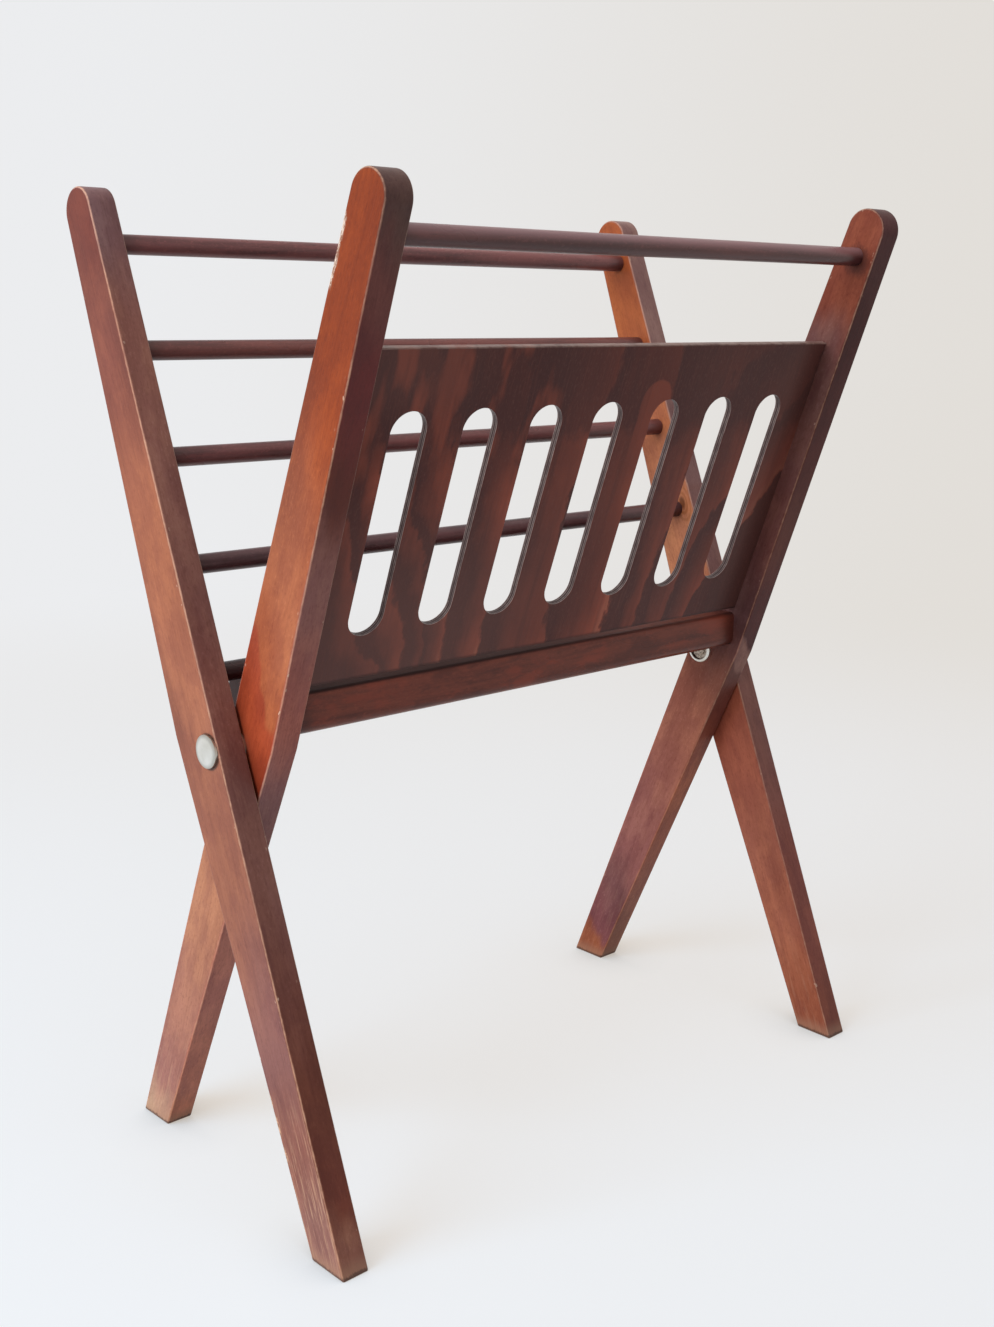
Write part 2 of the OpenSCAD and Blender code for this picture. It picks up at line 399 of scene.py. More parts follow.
def makeLegMeasures():
    # how far a point of a leg is from its arrises, along it and across it, in the leg's own plane
    group, given, result = newGroup("legMeasures", [("Vector", "Vector", None), ("Middle", "Float", 0.0)],
                                    ("Arris", "Along", "Across", "Edge"))
    x, u, s = split(given["Vector"])
    depth = minus(leg["thick"] / 2 * mm, absolute(minus(absolute(x), given["Middle"])))
    fromStraight = plus(u, leg["pivotEdge"] * mm)
    up = minus(s, leg["bendUp"] * mm)
    loss = calc("MAXIMUM", times(up, leg["upperTaper"]), times(up, -leg["lowerTaper"]))
    side = calc("MINIMUM", fromStraight, minus(minus(leg["bendWidth"] * mm, loss), fromStraight))
    du, ds = minus(u, leg["crown"][0] * mm), minus(s, leg["crown"][1] * mm)
    crownSide = minus(leg["crownRadius"] * mm, lengthOf(du, ds))
    onCrown = calc("GREATER_THAN", ds, 0.0)
    side = plus(times(onCrown, crownSide), times(inverse(onCrown), side))
    for label, value in (("Arris", lengthOf(side, depth)), ("Along", s), ("Across", fromStraight),
                         ("Edge", reach(side, 0.0003, 0.0012, 1.0, 0.0))):
        setOrLink(result[label], value)
    return group


# a leg in its own plane: across from the pivot, and along it; in millimetres
leg = {
    "thick": rack["legThick"],
    "pivotEdge": 8.8,          # from the pivot to the straight edge
    "bendWidth": 35.3,
    "bendUp": 12.0,
    "upperTaper": 0.04352,     # width lost for each mm above the bend
    "lowerTaper": 0.04700,     # and below it
    "reach": 287.5,
    "roundness": 11.6,
    "crown": (3.1, 275.56),    # middle of the round top
    "crownRadius": 11.945,
    "toe": (-8.8, -258.9),
    "arris": 1.1,              # rounding of every arris
}
grain = makeGrain()
wear = makeWear()
measures = makeLegMeasures()
print("shared effects made")


def makeLegBlank():
    straight = -leg["pivotEdge"]
    spareBelow = 4       # goes when the foot is cut
    blank = addBlock("legBlank", (-leg["thick"] / 2, straight, leg["toe"][1] - spareBelow),
                     (leg["thick"] / 2, straight + leg["bendWidth"], leg["reach"]))
    openEdit(blank, "VERT")
    bend = Vector((0, straight + leg["bendWidth"], leg["bendUp"])) * mm
    cutAway(bend, Vector((0, 1, leg["upperTaper"])).normalized())
    cutAway(bend, Vector((0, 1, -leg["lowerTaper"])).normalized())
    cutAway(Vector((0, *leg["toe"])) * mm, Vector((0, math.sin(lean), -math.cos(lean))))    # the level foot
    choose(blank, "EDGE", lambda e: bothAt(e, 2, leg["reach"] * mm) and longerAlong(e, 0, 0.01))
    bpy.ops.mesh.bevel(offset=leg["roundness"] * mm, segments=18, profile=0.5, clamp_overlap=False)
    # then every sharp edge: both outlines and the foot
    sharp = 0.35         # radians between two faces
    choose(blank, "EDGE", lambda e: e.calc_face_angle(0) > sharp)
    bpy.ops.mesh.bevel(offset=leg["arris"] * mm, segments=4, profile=0.5)
    mergeUp(sameSpot)
    return blank


def widthAt(along):
    return leg["bendWidth"] - leg["upperTaper"] * (along - leg["bendUp"])


def onRungSide(across, along):
    # leg plane to the rack's Y and Z, for the frame whose top leans back
    return (across * math.cos(lean) + along * math.sin(lean),
            rack["pivotHeight"] - across * math.sin(lean) + along * math.cos(lean))


def onPanelSide(across, along):
    y, z = onRungSide(across, along)
    return -y, z


# the rungs and the rail, in millimetres
dowel = {
    "radius": 5.0,
    "sides": 56,
    "endEase": 0.8,
    "spans": 16,          # lengths that a bar is divided into, so that its faces aren't slivers
    "tenon": 8.0,
    "holePlay": 0.05,
    "lowest": 37.6,       # above the pivot, along the leg
    "pitch": 55.2,
    "count": 5,
    "towardsFront": 2.0,
    "railAlong": 260.7,
}


def rungPlace(i):
    along = dowel["lowest"] + i * dowel["pitch"]
    return onRungSide(-leg["pivotEdge"] + widthAt(along) / 2 - dowel["towardsFront"], along)


def railPlace():
    along = dowel["railAlong"]
    return onPanelSide(-leg["pivotEdge"] + widthAt(along) / 2, along)


def makeDowel(name, node, body, bay, place, material):
    half = bay + dowel["tenon"]
    bar = addBar(name, dowel["radius"], -half, half, 0, 0, dowel["sides"])
    openEdit(bar, "EDGE")
    # known fault: this takes the long edges too, and their bevels cross, within 0.03 mm of the surface
    choose(bar, "EDGE", lambda e: all(abs(abs(v.co.x) - half * mm) < sameSpot for v in e.verts))
    bpy.ops.mesh.bevel(offset=dowel["endEase"] * mm, segments=3, profile=0.6)
    for k in range(1, dowel["spans"]):
        bpy.ops.mesh.select_all(action="SELECT")
        bpy.ops.mesh.bisect(plane_co=((2 * k / dowel["spans"] - 1) * half * mm, 0, 0), plane_no=(1, 0, 0))
    closeEdit()
    bar.location = (0, place[0] * mm, place[1] * mm)
    settle(bar)
    smoothOff(bar)
    paint(bar, material)
    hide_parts(node)
    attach(bar, body)


# tones of the broad faces and of the narrow edges run from the foot to the round top,
# at distances in mm along the leg from the pivot; besides the stain they carry painted light and shade,
# chiefly on the narrow edges
legLooks = {
    "rung_leg_left": {
        "tones": ((-250, (0.38, 0.18, 0.14)), (-205, (0.34, 0.13, 0.09)), (-150, (0.25, 0.10, 0.09)),
                  (-50, (0.33, 0.12, 0.07)), (110, (0.36, 0.12, 0.06)), (205, (0.21, 0.06, 0.04)),
                  (280, (0.14, 0.03, 0.02))),
        "edges": ((-255, (0.36, 0.15, 0.10)), (-235, (0.20, 0.05, 0.03)), (-180, (0.18, 0.05, 0.03)),
                  (-40, (0.26, 0.11, 0.09)), (70, (0.27, 0.12, 0.10)), (200, (0.37, 0.16, 0.12)),
                  (280, (0.24, 0.12, 0.12))),
        "nicks": ((17.5, -172, 1.8), (16.5, -184, 2.4), (15.5, -199, 2.0)), "bare": (0.70, 0.42, 0.28),
        "seed": 3.1, "wear": 1.0, "scuff": 1.0, "knot": False, "shine": 0.26},
    "rung_leg_right": {
        "tones": ((-230, (0.30, 0.08, 0.04)), (-130, (0.45, 0.15, 0.09)), (-50, (0.43, 0.12, 0.07)),
                  (80, (0.47, 0.18, 0.09)), (260, (0.35, 0.09, 0.03))),
        # the highest edge tone is partly a painted highlight
        "edges": ((-240, (0.21, 0.05, 0.03)), (-150, (0.29, 0.08, 0.06)), (-40, (0.28, 0.11, 0.09)),
                  (130, (0.26, 0.13, 0.12)), (250, (0.33, 0.17, 0.15))),
        "nicks": (), "seed": 7.7, "wear": 0.65, "scuff": 0.25, "knot": True, "shine": 0.26},
    "panel_leg_left": {
        "tones": ((-255, (0.53, 0.33, 0.22)), (-225, (0.42, 0.18, 0.14)), (-170, (0.45, 0.19, 0.13)),
                  (-90, (0.44, 0.18, 0.10)), (0, (0.21, 0.035, 0.014)), (40, (0.30, 0.05, 0.02)),
                  (46, (0.32, 0.08, 0.03)), (90, (0.36, 0.11, 0.05)), (200, (0.28, 0.05, 0.01))),
        "edges": ((-255, (0.50, 0.14, 0.06)), (-220, (0.72, 0.25, 0.16)), (-130, (0.65, 0.23, 0.17)),
                  (-20, (0.35, 0.15, 0.14)), (40, (0.42, 0.12, 0.09)), (110, (0.33, 0.13, 0.11)),
                  (155, (0.13, 0.02, 0.01)), (200, (0.16, 0.02, 0.02)), (240, (0.22, 0.065, 0.055)),
                  (280, (0.14, 0.07, 0.06))),
        "nicks": ((-8.8, 259, 3.0), (-8.6, 252, 2.2), (-7.9, 243, 2.2), (-8.0, 236, 1.8)),
        "bare": (0.76, 0.64, 0.55),
        "seed": 12.4, "wear": 0.9, "scuff": 0.35, "knot": False, "shine": 0.26},
    "panel_leg_right": {
        "tones": ((-265, (0.38, 0.12, 0.06)), (-254, (0.25, 0.085, 0.095)), (-205, (0.26, 0.11, 0.11)),
                  (-150, (0.42, 0.17, 0.15)), (-40, (0.54, 0.21, 0.14)), (30, (0.16, 0.08, 0.08)),
                  (110, (0.18, 0.07, 0.06)), (190, (0.22, 0.11, 0.10)), (240, (0.245, 0.068, 0.040))),
        # the pale stop from -13 to 1 mm is a painted lit stripe across the narrow front face
        "edges": ((-250, (0.42, 0.14, 0.08)), (-200, (0.60, 0.21, 0.14)), (-90, (0.68, 0.22, 0.12)),
                  (-35, (0.26, 0.09, 0.07)), (-17, (0.24, 0.08, 0.06)), (-13, (0.48, 0.24, 0.19)),
                  (1, (0.48, 0.24, 0.19)), (6, (0.12, 0.02, 0.02)), (100, (0.15, 0.04, 0.03)),
                  (200, (0.10, 0.02, 0.02)), (280, (0.12, 0.04, 0.04))),
        "nicks": (), "seed": 18.9, "wear": 0.65, "scuff": 0.12, "knot": False, "shine": 0.12},
}
knotPlace = (-1.0, 95.0)      # across from the pivot and along the leg
rampSpan = (-0.27, 0.29)      # foot to round top, in metres from the pivot


def toneRamp(value, stops, low, high, blend="EASE"):
    span = addNode("MapRange", {"Value": value, "From Min": low, "From Max": high})
    ramp = addNode("ValToRGB", {"Fac": span.outputs["Result"]})
    ramp.color_ramp.interpolation = blend
    parts = ramp.color_ramp.elements
    for k, (place, colour) in enumerate(stops):
        at = (place * mm - low) / (high - low)
        part = parts[k] if k < 2 else parts.new(at)
        part.position = at
        part.color = (*colour, 1)
    return ramp.outputs["Color"]


def fromSpot(vector, across, along, flat=1.0):
    # distance from a spot of the leg's plane, in metres; a small flat draws it out along the leg
    u, s = split(vector)[1:]
    ds = minus(s, along * mm)
    return lengthOf(minus(u, across * mm), ds if flat == 1.0 else times(ds, flat))


def tornFrom(grit, vector, across, along, flat=1.0):
    return plus(fromSpot(vector, across, along, flat), times(minus(grit, 0.5), 0.006))


def legMaterial(name, rungSide, look):
    material, sockets = newMaterial("stainedBeech_" + name)
    seed = look["seed"]
    way = 1 if rungSide else -1
    middle = (outerMiddle if rungSide else innerMiddle) * mm
    vector = placed((0, 0, pivotZ), (-way * lean, 0, 0), (1, way, 1))
    shape = useGroup(measures, Vector=vector, Middle=middle)
    wood = useGroup(grain, Vector=vector, Seed=seed)
    wearAndShading = useGroup(wear, Distance=shape["Arris"], Vector=vector,
                      Width=0.00095, Amount=look["wear"], Seed=seed)
    broad = inverse(shape["Edge"])
    drift = times(minus(wood["Clouds"], 0.5), 0.12)
    at = plus(shape["Along"], drift)
    if not rungSide:
        # the tones cross the inner legs' broad faces at a slant
        at = plus(at, times(times(minus(shape["Across"], 0.014), 0.8), broad))
    tone = tint(shape["Edge"], toneRamp(at, look["tones"], *rampSpan), toneRamp(at, look["edges"], *rampSpan))
    # lighter and darker, at a hand's scale and then at a finger's
    for scale, detail, roughness, shift, along, low, high, darker, lighter in (
            (16, 2, 0.5, 2.0, 0.4, 0.36, 0.64, (0.84, 0.80, 0.80), (1.12, 1.16, 1.16)),
            (85, 4, 0.62, 5.0, 0.45, 0.40, 0.60, (0.90, 0.84, 0.87), (1.10, 1.10, 1.06))):
        mood = cloud(vector, scale, detail, roughness, seed + shift, along)
        tone = tint(reach(mood, low, high), stain(tone, darker), stain(tone, lighter))
    deep = stain(tone, (0.62, 0.52, 0.52))
    pale = stain(tone, (1.22, 1.36, 1.40))
    colour = layer(tone, deep, wood["Streaks"], 0.40, 0.66, 0.0, 0.36)
    colour = layer(colour, pale, wood["Clouds"], 0.48, 0.70, 0.0, 0.6)
    colour = layer(colour, deep, wood["Clouds"], 0.50, 0.32, 0.0, 0.45)
    colour = layer(colour, deep, wood["Fibres"], 0.48, 0.72, 0.0, 0.36)
    colour = tint(times(wood["Flecks"], 0.34), colour, deep)
    colour = layer(colour, pale, wood["Grit"], 0.52, 0.74, 0.0, 0.55)
    colour = layer(colour, deep, wood["Grit"], 0.46, 0.28, 0.0, 0.5)
    if look["knot"]:
        far = plus(fromSpot(vector, *knotPlace, flat=0.55), times(wood["Clouds"], 0.004))
        rings = reach(calc("SINE", times(far, 2400.0)), -0.4, 0.9, 0.2, 0.75)
        colour = tint(times(reach(far, 0.006, 0.013, 1.0, 0.0), rings), colour, (0.30, 0.10, 0.035))
        colour = layer(colour, (0.12, 0.038, 0.016), far, 0.0035, 0.0055, 0.8, 0.0)
    # fibres laid bare above the foot, on the broad faces
    low = times(reach(plus(shape["Along"], drift), -0.215, -0.165, look["scuff"], 0.0), broad)
    bareFibres = cloud(vector, 620, 3, 0.65, seed + 1.0, 0.07)
    scuffed = times(low, reach(bareFibres, 0.50, 0.66))
    colour = tint(times(scuffed, 0.7), colour, (0.60, 0.37, 0.25))
    colour = tint(times(low, reach(bareFibres, 0.48, 0.36, 0.0, 0.7)), colour, deep)
    # places where an arris is knocked off
    for across, along, radius in look["nicks"]:
        far = tornFrom(wood["Grit"], vector, across, along, 0.4)
        nick = times(reach(far, (radius - 0.5) * mm, radius * mm, 1.0, 0.0),
                     reach(shape["Arris"], 0.0015, 0.0038, 1.0, 0.0))
        colour = tint(nick, colour, tint(reach(wood["Grit"], 0.42, 0.58), (0.30, 0.14, 0.09), look["bare"]))
    # worn lines along every arris, the lowest few millimetres of the foot worn paler, and painted shade along
    # the very bottom of the foot
    colour = tint(times(wearAndShading["Wear"], 0.95), colour, (0.84, 0.50, 0.34))
    colour = tint(wearAndShading["Chips"], colour, (0.72, 0.50, 0.38))
    ground = plus(split(ownPoint())[2], times(wood["Grit"], 0.003))
    colour = layer(colour, (0.42, 0.23, 0.15), ground, 0.003, 0.012, 0.55, 0.0)
    # painted shade: a dark line along the bottom of the foot
    colour = layer(colour, (0.09, 0.045, 0.035), ground, 0.0028, 0.0042, 0.8, 0.0)
    if rungSide:
        # painted shade round the rivet's head, more of it on the front
        rivetShade = times(reach(fromSpot(vector, -0.7, -0.4), 0.0086, 0.0099, 0.85, 0.0), broad)
        colour = tint(rivetShade, colour, (0.035, 0.014, 0.010))
    else:
        # darker round the end of the rail, on the inner face
        across = widthAt(dowel["railAlong"]) / 2 - leg["pivotEdge"] + 1.5
        far = tornFrom(wood["Grit"], vector, across, dowel["railAlong"] - 1.5)
        railEndDarkening = times(reach(far, 0.0055, 0.0105, 0.6, 0.0), broad)
        railEndDarkening = times(railEndDarkening, calc("LESS_THAN", absolute(split(vector)[0]), middle))
        colour = tint(railEndDarkening, colour, (0.060, 0.026, 0.024))
    roughness = plus(reach(wood["Clouds"], 0.3, 0.8, 0.36, 0.46), times(wearAndShading["Wear"], 0.12))
    roughness = plus(roughness, times(scuffed, 0.2))
    relief = plus(minus(wood["Fibres"], times(wood["Flecks"], 0.4)), times(wood["Grit"], 0.5))
    dress(sockets, colour, roughness, look["shine"], relief, 0.2, 0.0004)
    return material


def makeLegs():
    blank = makeLegBlank()
    past = 2             # cutters stand this far out of the faces
    for name, rungSide, sign in (("rung_leg_left", True, -1), ("rung_leg_right", True, 1),
                                 ("panel_leg_left", False, -1), ("panel_leg_right", False, 1)):
        piece = copyOf(blank, "leg_" + name)
        middle, inside = (outerMiddle, outerBay) if rungSide else (innerMiddle, innerBay)
        piece.rotation_euler = (-lean, 0, 0 if rungSide else math.pi)     # the same blank, turned about
        piece.location = (sign * middle * mm, 0, pivotZ)
        cutters = []
        for place in ([rungPlace(i) for i in range(dowel["count"])] if rungSide else [railPlace()]):
            cutters.append(endCutter(sign, inside - past, inside + dowel["tenon"] + dowel["holePlay"],
                                     dowel["radius"] + dowel["holePlay"], *place))
        cutters.append(endCutter(sign, inside - past, inside + leg["thick"] + past,
                                 rack["boreRadius"], 0, rack["pivotHeight"]))
        if not rungSide:
            cutters.append(makePanelBlock("cutter", panel["groovePlay"]))
            for y in board["pinPlaces"]:
                cutters.append(endCutter(sign, inside - past, inside + board["pinInLeg"] + board["pinPlay"],
                                         board["pinRadius"] + board["pinPlay"], y, boardMiddle))
        carve(piece, *cutters)     # while the piece still lies square in its own plane
        settle(piece)
        smoothOff(piece)
        paint(piece, legMaterial(name, rungSide, legLooks[name]))
        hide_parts(name)
        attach(piece, "rung_frame" if rungSide else "panel_frame")
        print("leg made:", name)
    bpy.data.objects.remove(blank, do_unlink=True)


panel = {
    "lean": 19.4,
    "inFront": 12.3,       # middle of its thickness, in front of the pivots
    "thick": 4.0,
    "low": 37.38,
    "high": 209.8,
    "inGroove": 4.0,
    "groovePlay": 0.06,
    "slotWidth": 21.6,
    "slotLow": 61.78,
    "slotHigh": 179.2,
    "firstSlot": -131.7,
    "slotPitch": 44.3,
    "slots": 7,
    "rim": 0.45,           # easing round the slots
    "topEase": 0.7,
}
panelLean = math.radians(panel["lean"])


def standPanel(piece):
    piece.rotation_euler = (panelLean, 0, 0)
    piece.location = (0, 0, pivotZ)
    settle(piece)


def makePanelBlock(name, play=0.0):
    half = innerBay + panel["inGroove"] + play
    thick = panel["thick"] / 2 + play
    block = addBlock(name, (-half, -panel["inFront"] - thick, panel["low"] - play),
                     (half, -panel["inFront"] + thick, panel["high"] + play))
    if play:
        standPanel(block)
    return block


def makeSlotCutters():
    half = panel["slotWidth"] / 2
    out = panel["thick"] / 2 + 4       # they stand 4 mm out of both faces
    first = addBlock("cutter", (panel["firstSlot"] - half, -panel["inFront"] - out, panel["slotLow"]),
                     (panel["firstSlot"] + half, -panel["inFront"] + out, panel["slotHigh"]))
    openEdit(first, "EDGE")
    choose(first, "EDGE", lambda e: longerAlong(e, 1, 0.005))
    sliver = 0.02        # left between the two roundings of an end, so that they don't meet
    bpy.ops.mesh.bevel(offset=(half - sliver) * mm, segments=20, profile=0.5, clamp_overlap=False)
    closeEdit()
    cutters = [first]
    for i in range(1, panel["slots"]):
        slot = copyOf(first, "cutter")
        slot.location.x += i * panel["slotPitch"] * mm
        settle(slot)
        cutters.append(slot)
    return cutters


def makePanel():
    piece = makePanelBlock("panel")
    carve(piece, *makeSlotCutters())
    openEdit(piece, "EDGE")
    front, back = ((side * panel["thick"] / 2 - panel["inFront"]) * mm for side in (-1, 1))
    low, high = panel["slotLow"] * mm - 10 * sameSpot, panel["slotHigh"] * mm + 10 * sameSpot
    square = 0.8         # radians; less is a facet of a round end
    choose(piece, "EDGE", lambda e: (bothAt(e, 1, front) or bothAt(e, 1, back))
           and all(low < v.co.z < high for v in e.verts) and e.calc_face_angle(0) > square)
    bpy.ops.mesh.bevel(offset=panel["rim"] * mm, segments=2, profile=0.5)
    choose(piece, "EDGE", lambda e: bothAt(e, 2, panel["high"] * mm) and longerAlong(e, 0, 0.1))
    bpy.ops.mesh.bevel(offset=panel["topEase"] * mm, segments=3, profile=0.5)
    closeEdit()
    standPanel(piece)
    smoothOff(piece)
    paint(piece, panelMaterial())
    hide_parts("slotted_panel")
    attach(piece, "panel_frame")
    print("panel made")


# flames of the veneer, half-way up, from left to right: where each ends, in mm from the middle,
# how red it is there, and over how many mm it fades to the left
flames = ((-158, 0.60, 14), (-134, 0.95, 17), (-113, 0.60, 11), (-92, 0.90, 17), (-52, 1.00, 24),
          (-4, 0.95, 34), (42, 1.00, 42), (76, 0.55, 18), (118, 0.85, 30), (158, 0.95, 34))


def panelMaterial():
    material, sockets = newMaterial("flamedPlywood")
    vector = placed((0, 0, pivotZ), (panelLean, 0, 0))
    x, n, d = split(vector)
    wood = useGroup(grain, Vector=vector, Seed=31.0)
    # flames: bands that lean left on the left and right on the right, pushed about by long noise
    push = cloud(vector, 24, 3, 0.55, 5.0, 0.55)
    jag = cloud(vector, 130, 3, 0.65, 8.0, 0.5)
    tilt = plus(reach(x, -0.13, -0.02, -0.42, 0.0), reach(x, 0.05, 0.15, 0.0, 0.6))
    at = minus(x, times(minus(d, 0.12), tilt))
    at = plus(at, times(minus(push, 0.5), 0.045))
    at = plus(at, times(minus(jag, 0.5), 0.014))
    stops = []
    for end, much, fade in flames:
        stops += [(end - fade, (0.04,) * 3), (end, (much,) * 3), (end + 1.6, (0.06,) * 3)]
    flame = toneRamp(at, stops, -0.175, 0.172, "LINEAR")
    flame = times(flame, reach(cloud(vector, 17, 2, 0.5, 2.2, 0.6), 0.38, 0.60, 0.50, 1.10))
    ragged = times(minus(jag, 0.5), 0.03)
    flame = times(flame, reach(plus(d, ragged), 0.156, 0.168, 1.0, 0.24))
    # narrower tongues near the top on the left
    tongue = cloud(vector, 66, 3, 0.45, 12.0, 0.27)
    where = times(reach(d, 0.138, 0.160), reach(x, 0.0, -0.045))
    flame = times(flame, inverse(times(where, 0.5)))
    flame = calc("MAXIMUM", flame, times(where, reach(tongue, 0.47, 0.60, 0.0, 0.58)))
    # one rounded finger reaches up beside the fifth slot
    tip = lengthOf(minus(plus(x, times(ragged, 0.12)), 0.0345), calc("MAXIMUM", minus(d, 0.180), 0.0))
    finger = times(reach(tip, 0.0098, 0.0118, 0.52, 0.0), reach(d, 0.10, 0.17, 0.4, 1.0))
    flame = calc("MAXIMUM", flame, finger, clamp=True)
    colour = tint(flame, (0.082, 0.018, 0.016), (0.53, 0.12, 0.068))
    colour = layer(colour, (0.62, 0.22, 0.14), flame, 0.80, 0.98, 0.0, 0.38)
    colour = layer(colour, (0.068, 0.017, 0.016), wood["Streaks"], 0.42, 0.72, 0.0, 0.42)
    # painted sheen pales the lower left and the upper left a little, and painted light pales the far end
    paintedSheen = calc("MAXIMUM", times(reach(d, 0.150, 0.060), reach(x, 0.04, -0.10)),
                  times(reach(d, 0.165, 0.195, 0.0, 0.6), reach(x, -0.07, -0.14)))
    colour = tint(times(paintedSheen, 0.32), colour, (0.33, 0.165, 0.140))
    colour = layer(colour, (0.13, 0.068, 0.060), x, 0.125, 0.160, 0.0, 0.55)
    colour = layer(colour, (0.28, 0.085, 0.060), wood["Fibres"], 0.5, 0.78, 0.0, 0.3)
    colour = layer(colour, (0.26, 0.10, 0.08), wood["Grit"], 0.5, 0.75, 0.0, 0.3)
    # painted shade along the foot of the panel, over the board, and its top edge is rubbed
    low, high = panel["low"], panel["high"]
    colour = layer(colour, (0.030, 0.013, 0.011), d, (low + 0.2) * mm, (low + 2.0) * mm, 0.6, 0.0)
    rub = times(reach(d, (high - 0.9) * mm, (high - 0.3) * mm, 0.0, 0.6), reach(jag, 0.35, 0.6, 0.4, 1.0))
    colour = tint(rub, colour, (0.50, 0.35, 0.30))
    # plies on the slots' walls
    fromCore = absolute(plus(n, panel["inFront"] * mm))
    edge = minus(panel["thick"] / 2 * mm, fromCore)
    glue = reach(absolute(minus(fromCore, 0.0007)), 0.00005, 0.00028, 1.0, 0.0)
    broken = reach(cloud(vector, 140, 3, 0.5, 3.3), 0.4, 0.62, 0.35, 0.80)
    wall = tint(times(glue, broken), (0.055, 0.033, 0.033), (0.42, 0.34, 0.32))
    # a pale line along each rim: partly wear, partly a painted highlight
    rimLine = times(reach(edge, 0.00035, 0.0007, 1.0, 0.0), reach(jag, 0.36, 0.56, 0.35, 0.8))
    wall = tint(rimLine, wall, (0.50, 0.40, 0.38))
    onWall = times(reach(edge, 0.00012, 0.00036), reach(d, (high - 2.2) * mm, (high - 2.0) * mm, 1.0, 0.0))
    colour = tint(onWall, colour, wall)
    dress(sockets, colour, reach(wood["Clouds"], 0.3, 0.8, 0.34, 0.42), 0.20,
          plus(wood["Fibres"], times(wood["Streaks"], 0.5)), 0.12, 0.0004)
    return material


board = {
    "front": -25.6,
    "width": 55.0,
    "thick": 21.2,
    "top": 264.609,        # above the floor
    "topRadius": 3.0,
    "lowRadius": 5.0,
    "pinPlaces": (-19.2, -5.632),
    "pinRadius": 4.0,
    "pinPlay": 0.06,
    "pinInLeg": 10.5,
    "pinInBoard": 17.5,
    "pocketRadius": 9.5,   # round the cap of a rivet
    "pocketDepth": 2.75,
}
boardMiddle = board["top"] - board["thick"] / 2

# tone and darker tone, seed and shine of the wood that lies along X
barLooks = {
    "board": {"tone": (0.260, 0.062, 0.038), "deep": (0.110, 0.028, 0.021), "seed": 44.0, "shine": 0.27,
              "crevice": True},
    # the lower rungs have darker tones: painted shade under the panel
    "rung_1": {"tone": (0.100, 0.038, 0.038), "deep": (0.050, 0.022, 0.023), "seed": 50.0, "shine": 0.42},
    "rung_2": {"tone": (0.185, 0.080, 0.085), "deep": (0.085, 0.044, 0.050), "seed": 53.0, "shine": 0.42},
    "rung_3": {"tone": (0.270, 0.092, 0.090), "deep": (0.115, 0.046, 0.047), "seed": 56.0, "shine": 0.42},
    "rung_4": {"tone": (0.290, 0.094, 0.080), "deep": (0.120, 0.046, 0.044), "seed": 59.0, "shine": 0.42},
    "rung_5": {"tone": (0.330, 0.112, 0.108), "deep": (0.130, 0.052, 0.054), "seed": 62.0, "shine": 0.42},
    "rail": {"tone": (0.250, 0.082, 0.076), "deep": (0.105, 0.037, 0.036), "seed": 71.0, "shine": 0.44,
             "wearAndShading": 0.6},
}


def makeBoard():
    low, front, back = board["top"] - board["thick"], board["front"], board["front"] + board["width"]
    piece = addBlock("board", (-innerBay, front, low), (innerBay, back, board["top"]))
    openEdit(piece, "EDGE")
    choose(piece, "EDGE", lambda e: longerAlong(e, 0, 0.1) and bothAt(e, 2, low * mm))
    bpy.ops.mesh.bevel(offset=board["lowRadius"] * mm, segments=8, profile=0.5)
    choose(piece, "EDGE", lambda e: longerAlong(e, 0, 0.1) and bothAt(e, 2, board["top"] * mm)
           and (bothAt(e, 1, front * mm) or bothAt(e, 1, back * mm)))
    bpy.ops.mesh.bevel(offset=board["topRadius"] * mm, segments=5, profile=0.5)
    closeEdit()
    outside = innerBay + 3      # where the cutters start
    cutters = []
    for sign in (-1, 1):
        cutters.append(endCutter(sign, outside, innerBay - board["pocketDepth"],
                                 board["pocketRadius"], 0, rack["pivotHeight"], sides=64))
        for y in board["pinPlaces"]:
            cutters.append(endCutter(sign, outside, innerBay - board["pinInBoard"] - board["pinPlay"],
                                     board["pinRadius"] + board["pinPlay"], y, boardMiddle))
    carve(piece, *cutters)
    smoothOff(piece)
    paint(piece, barMaterial("boardWood", (0, board["top"]), innerBay, **barLooks["board"]))
    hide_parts("floor_board")
    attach(piece, "panel_frame")
    print("board made")


def scaled(colour, factor):
    return tuple(c * factor for c in colour)


